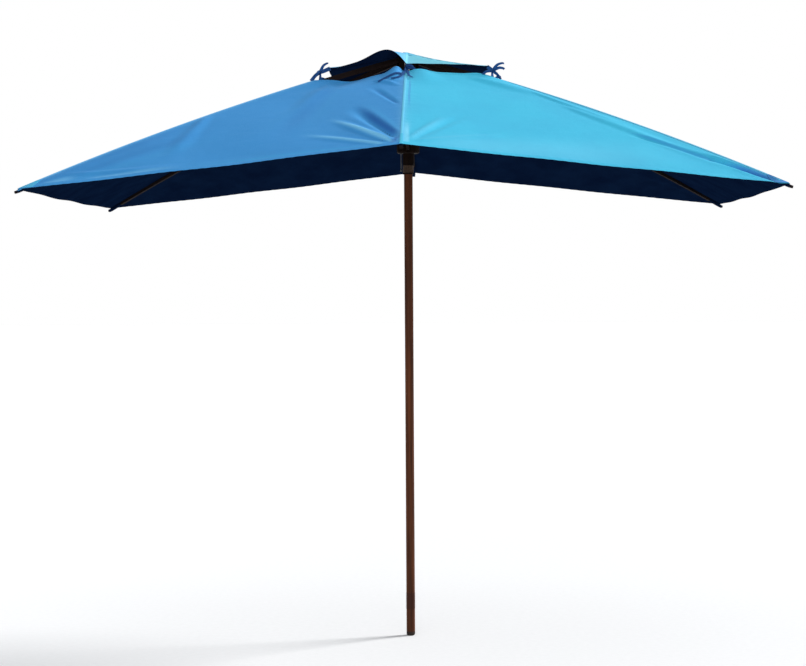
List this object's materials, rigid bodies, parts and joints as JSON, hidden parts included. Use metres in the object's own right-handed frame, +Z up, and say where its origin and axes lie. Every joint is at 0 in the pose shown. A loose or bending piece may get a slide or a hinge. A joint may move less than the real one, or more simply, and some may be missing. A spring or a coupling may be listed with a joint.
{
  "type": "patio umbrella",
  "caption": "Rectangular wooden market umbrella with a vented blue canopy, folding ribs and struts on a sliding runner, and a bare pole foot.",
  "frame": {"origin": "centre of the pole's foot, on the ground plane", "axes": "+Z up along the pole, +X along the canopy's long side, -Y towards the front, umbrella open at rest"},
  "size_m": [3.0304, 2.0282, 2.566],
  "materials": {
    "pole_wood": "dark stained hardwood, satin varnish, straight grain along the pole",
    "rib_wood": "dark stained hardwood, satin, planed",
    "hub_wood": "darker turned hardwood, satin",
    "band_finish": "reddish stained wooden sleeve, satin",
    "foot_rubber": "dark brown rubber, matt",
    "hardware": "plain steel with a dull plated finish",
    "canopy_cloth": "tightly woven blue canvas, slightly glossy",
    "cap_cloth": "tightly woven blue canvas, slightly glossy",
    "tie_cloth": "narrow blue woven ribbon",
    "cord": "light grey braided cord"
  },
  "bodies": {
    "pole_body": {"pole": "pole_wood", "foot_cap": "foot_rubber", "foot_band": "band_finish", "crown": "hub_wood", "crown_pins": "hardware", "crown_button": "hub_wood", "apex_patch": "cap_cloth", "hoist_cord": "cord"},
    "rib_body_fl": {"rib_fl": "rib_wood", "bracket_fl": "hardware", "bracket_pins_fl": "hardware", "canopy_fl": "canopy_cloth", "vent_cap_fl": "cap_cloth", "tie_fl": "tie_cloth"},
    "rib_body_fm": {"rib_fm": "rib_wood", "bracket_fm": "hardware", "bracket_pins_fm": "hardware", "canopy_fm": "canopy_cloth", "vent_cap_fm": "cap_cloth", "tie_fm": "tie_cloth", "knuckle_fm": "hardware"},
    "rib_body_fr": {"rib_fr": "rib_wood", "bracket_fr": "hardware", "bracket_pins_fr": "hardware", "canopy_fr": "canopy_cloth", "vent_cap_fr": "cap_cloth", "tie_fr": "tie_cloth"},
    "rib_body_br": {"rib_br": "rib_wood", "bracket_br": "hardware", "bracket_pins_br": "hardware", "canopy_br": "canopy_cloth", "vent_cap_br": "cap_cloth", "tie_br": "tie_cloth"},
    "rib_body_bm": {"rib_bm": "rib_wood", "bracket_bm": "hardware", "bracket_pins_bm": "hardware", "canopy_bm": "canopy_cloth", "vent_cap_bm": "cap_cloth", "tie_bm": "tie_cloth", "knuckle_bm": "hardware"},
    "rib_body_bl": {"rib_bl": "rib_wood", "bracket_bl": "hardware", "bracket_pins_bl": "hardware", "canopy_bl": "canopy_cloth", "vent_cap_bl": "cap_cloth", "tie_bl": "tie_cloth"},
    "strut_body_fl": {"strut_fl": "rib_wood"},
    "strut_body_fm": {"strut_fm": "rib_wood"},
    "strut_body_fr": {"strut_fr": "rib_wood"},
    "strut_body_br": {"strut_br": "rib_wood"},
    "strut_body_bm": {"strut_bm": "rib_wood"},
    "strut_body_bl": {"strut_bl": "rib_wood"},
    "runner_body": {"runner": "hub_wood", "runner_pins": "hardware", "cord_coil": "cord"}
  },
  "joints": [
    {"name": "fold_fl", "type": "hinge", "parent": "pole_body", "child": "rib_body_fl", "pos_m": [-0.03079, -0.02052, 2.54], "axis": [0.5547, -0.8321, 0], "range_deg": [0, 65.5], "deforming": ["canopy_fl", "vent_cap_fl", "tie_fl"]},
    {"name": "fold_fm", "type": "hinge", "parent": "pole_body", "child": "rib_body_fm", "pos_m": [0, -0.037, 2.495], "axis": [1, 0, 0], "range_deg": [0, 65.5], "deforming": ["canopy_fm", "vent_cap_fm", "tie_fm"]},
    {"name": "fold_fr", "type": "hinge", "parent": "pole_body", "child": "rib_body_fr", "pos_m": [0.03079, -0.02052, 2.54], "axis": [0.5547, 0.8321, 0], "range_deg": [0, 65.5], "deforming": ["canopy_fr", "vent_cap_fr", "tie_fr"]},
    {"name": "fold_br", "type": "hinge", "parent": "pole_body", "child": "rib_body_br", "pos_m": [0.03079, 0.02052, 2.54], "axis": [-0.5547, 0.8321, 0], "range_deg": [0, 65.5], "deforming": ["canopy_br", "vent_cap_br", "tie_br"]},
    {"name": "fold_bm", "type": "hinge", "parent": "pole_body", "child": "rib_body_bm", "pos_m": [0, 0.037, 2.495], "axis": [-1, 0, 0], "range_deg": [0, 65.5], "deforming": ["canopy_bm", "vent_cap_bm", "tie_bm"]},
    {"name": "fold_bl", "type": "hinge", "parent": "pole_body", "child": "rib_body_bl", "pos_m": [-0.03079, 0.02052, 2.54], "axis": [-0.5547, -0.8321, 0], "range_deg": [0, 65.5], "deforming": ["canopy_bl", "vent_cap_bl", "tie_bl"]},
    {"name": "swing_fl", "type": "hinge", "parent": "rib_body_fl", "child": "strut_body_fl", "pos_m": [-0.40083, -0.26722, 2.36481], "axis": [-0.5547, 0.8321, 0], "range_deg": [0, 131]},
    {"name": "swing_fm", "type": "hinge", "parent": "rib_body_fm", "child": "strut_body_fm", "pos_m": [0, -0.48174, 2.31981], "axis": [-1, 0, 0], "range_deg": [0, 131]},
    {"name": "swing_fr", "type": "hinge", "parent": "rib_body_fr", "child": "strut_body_fr", "pos_m": [0.40083, -0.26722, 2.36481], "axis": [-0.5547, -0.8321, 0], "range_deg": [0, 131]},
    {"name": "swing_br", "type": "hinge", "parent": "rib_body_br", "child": "strut_body_br", "pos_m": [0.40083, 0.26722, 2.36481], "axis": [0.5547, -0.8321, 0], "range_deg": [0, 131]},
    {"name": "swing_bm", "type": "hinge", "parent": "rib_body_bm", "child": "strut_body_bm", "pos_m": [0, 0.48174, 2.31981], "axis": [1, 0, 0], "range_deg": [0, 131]},
    {"name": "swing_bl", "type": "hinge", "parent": "rib_body_bl", "child": "strut_body_bl", "pos_m": [-0.40083, 0.26722, 2.36481], "axis": [0.5547, 0.8321, 0], "range_deg": [0, 131]},
    {"name": "runner_level", "type": "hinge", "parent": "strut_body_fl", "child": "runner_body", "pos_m": [-0.03079, -0.02052, 2.18962], "axis": [0.5547, -0.8321, 0], "range_deg": [0, 65.5]}
  ],
  "couplings": [
    {"joint": "fold_fm", "follows": "fold_fl", "ratio": 1},
    {"joint": "fold_fr", "follows": "fold_fl", "ratio": 1},
    {"joint": "fold_br", "follows": "fold_fl", "ratio": 1},
    {"joint": "fold_bm", "follows": "fold_fl", "ratio": 1},
    {"joint": "fold_bl", "follows": "fold_fl", "ratio": 1},
    {"joint": "swing_fl", "follows": "fold_fl", "ratio": 2},
    {"joint": "swing_fm", "follows": "fold_fl", "ratio": 2},
    {"joint": "swing_fr", "follows": "fold_fl", "ratio": 2},
    {"joint": "swing_br", "follows": "fold_fl", "ratio": 2},
    {"joint": "swing_bm", "follows": "fold_fl", "ratio": 2},
    {"joint": "swing_bl", "follows": "fold_fl", "ratio": 2},
    {"joint": "runner_level", "follows": "fold_fl", "ratio": 1}
  ]
}
